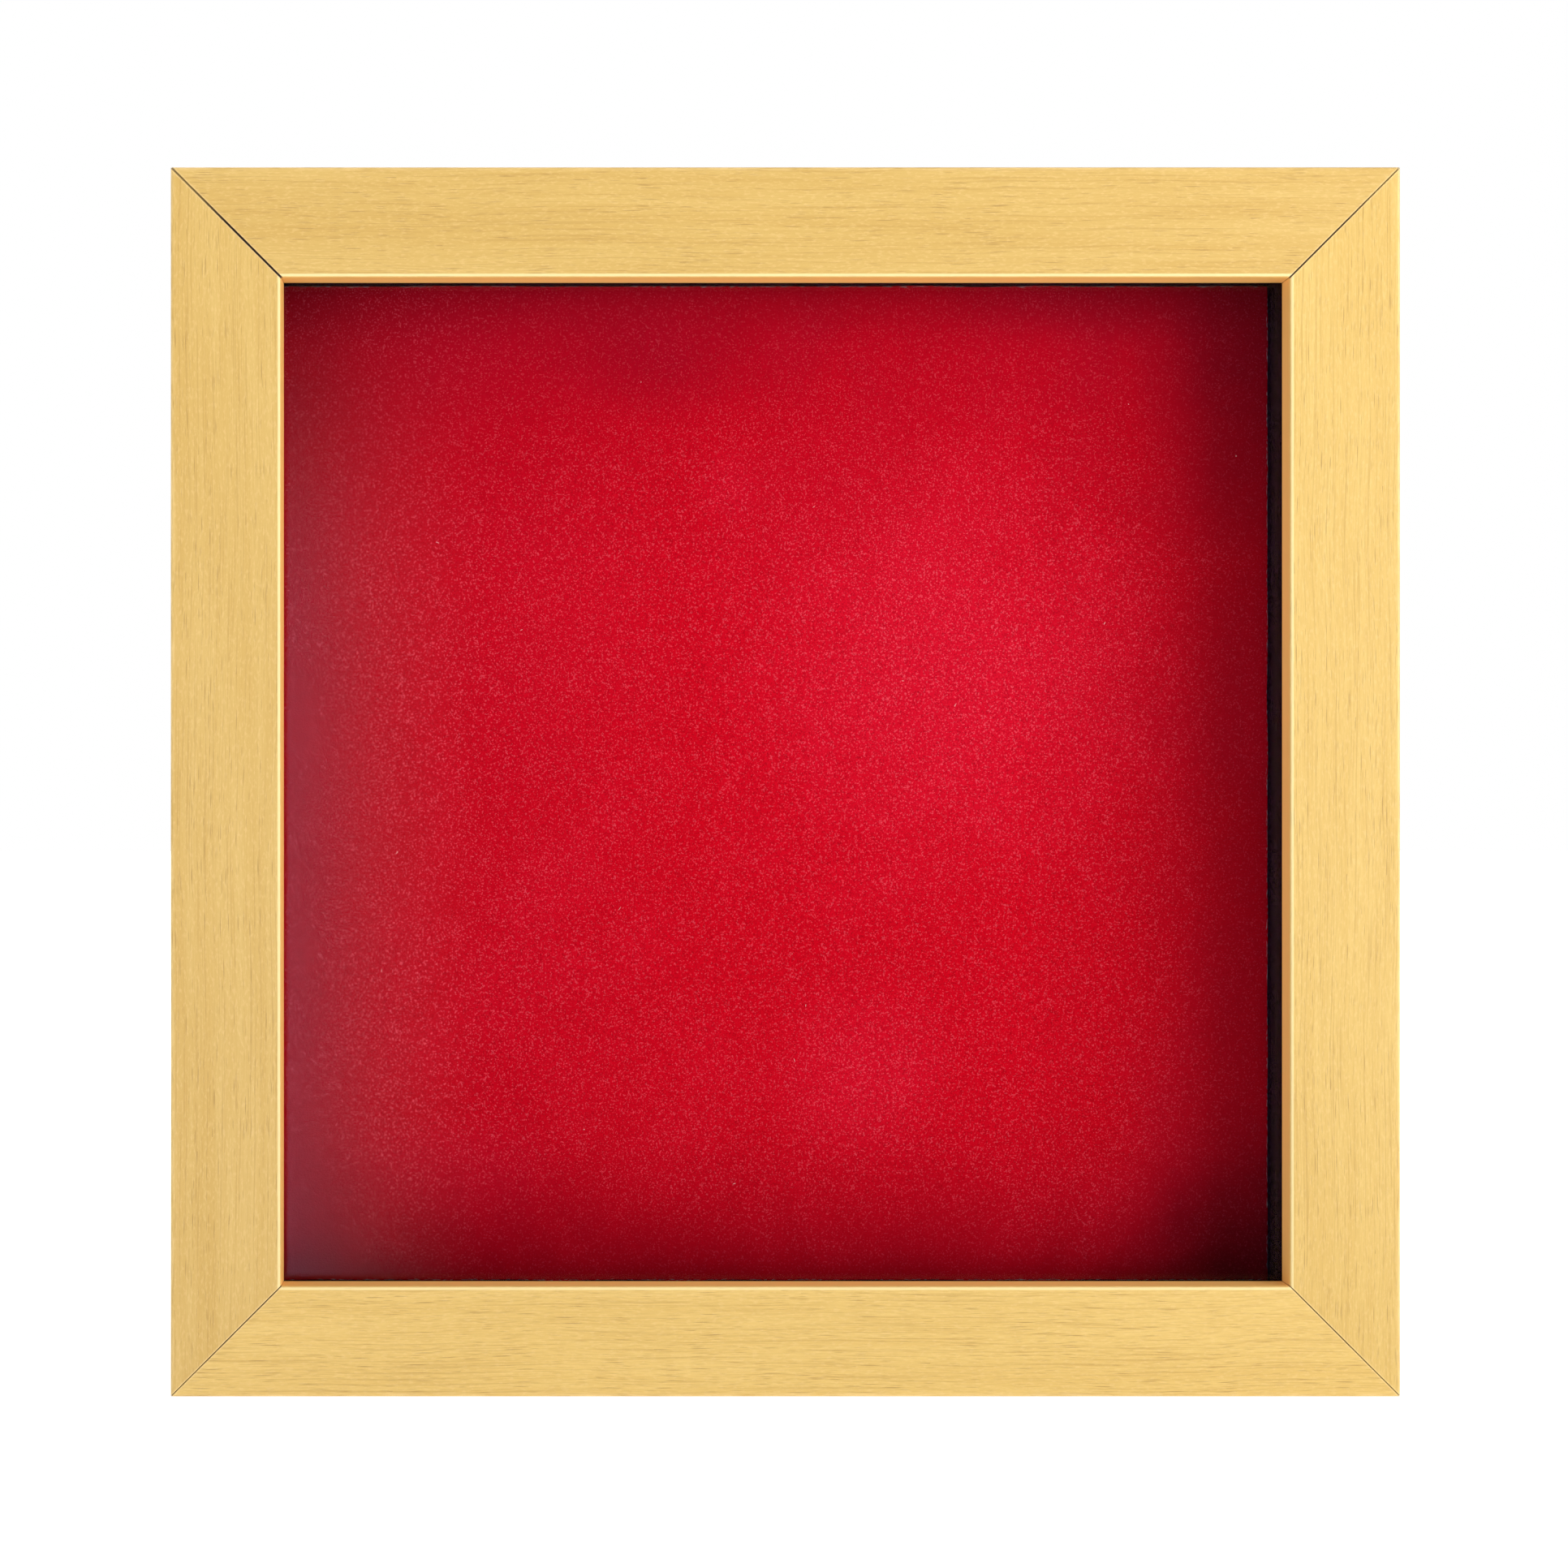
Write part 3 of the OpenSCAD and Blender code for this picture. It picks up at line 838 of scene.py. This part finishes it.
ZINC_BRIGHT = (0.62, 0.63, 0.65, 1)
ZINC_DULL = (0.40, 0.41, 0.42, 1)
NICKEL_BRIGHT = (0.66, 0.65, 0.63, 1)
NICKEL_DULL = (0.45, 0.44, 0.42, 1)
NAIL_BRIGHT = (0.36, 0.36, 0.38, 1)
NAIL_DULL = (0.20, 0.19, 0.19, 1)
BUTTON_ROUND = 0.25 * MM
STRAP_ROUND = 0.15 * MM


def softened(node, body, slot, material, width):
    """A copy of a CAD node with its sharp edges rounded over, which stands in for the node."""
    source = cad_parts[node]
    bm = bmesh.new()
    bm.from_mesh(source.data)
    bmesh.ops.remove_doubles(bm, verts=bm.verts, dist=0.002 * MM)
    bmesh.ops.dissolve_limit(bm, angle_limit=math.radians(0.5), verts=bm.verts, edges=bm.edges)
    piece = new_object(f"{node}_finished", bm, material)
    rounded = piece.modifiers.new("rounded", "BEVEL")
    rounded.width = width
    rounded.segments = 2
    rounded.limit_method = "ANGLE"
    rounded.angle_limit = math.radians(40)
    rounded.use_clamp_overlap = True
    piece.modifiers.new("even", "WEIGHTED_NORMAL").keep_sharp = True
    place(piece, body, slot, node)


def finish_hardware():
    zinc = metal("zinc_plate", ZINC_BRIGHT, ZINC_DULL, spangle=520.0, smooth=0.28, rough=0.46)
    nickel = metal("button_plate", NICKEL_BRIGHT, NICKEL_DULL, spangle=900.0, smooth=0.22, rough=0.38)
    nails = metal("nail_plate", NAIL_BRIGHT, NAIL_DULL, spangle=700.0, smooth=0.35, rough=0.55)
    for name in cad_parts:
        if name.startswith("button_") and name != "button_screws":
            softened(name, name, "button_steel", nickel, BUTTON_ROUND)
        if name.startswith("hanger_strap"):
            softened(name, "frame", "zinc_steel", zinc, STRAP_ROUND)
        if name.startswith("hanger_ring"):
            dress(name, zinc)
    dress("button_screws", zinc)
    dress("hanger_screws", zinc)
    dress("corner_nails", nails)
    dress("wall_bumpers", rubber())


# ---- The scene ----

make_camera()
make_world()
make_lights()
make_floor()
for number, side in enumerate(SIDES):
    dress(f"frame_{side}_rail", wood(f"rail_wood_{side}", side, number + 1.0))
dress("glass_pane", glass())
dress("backing_board", hardboard())
dress("mount_board", foam_board())
felt = black_felt()
for side in SIDES:
    felt_liner(side, felt)
felt_fluff()
velvet_cover()
velvet_lint()
finish_hardware()

bpy.context.scene.view_settings.view_transform = "Standard"
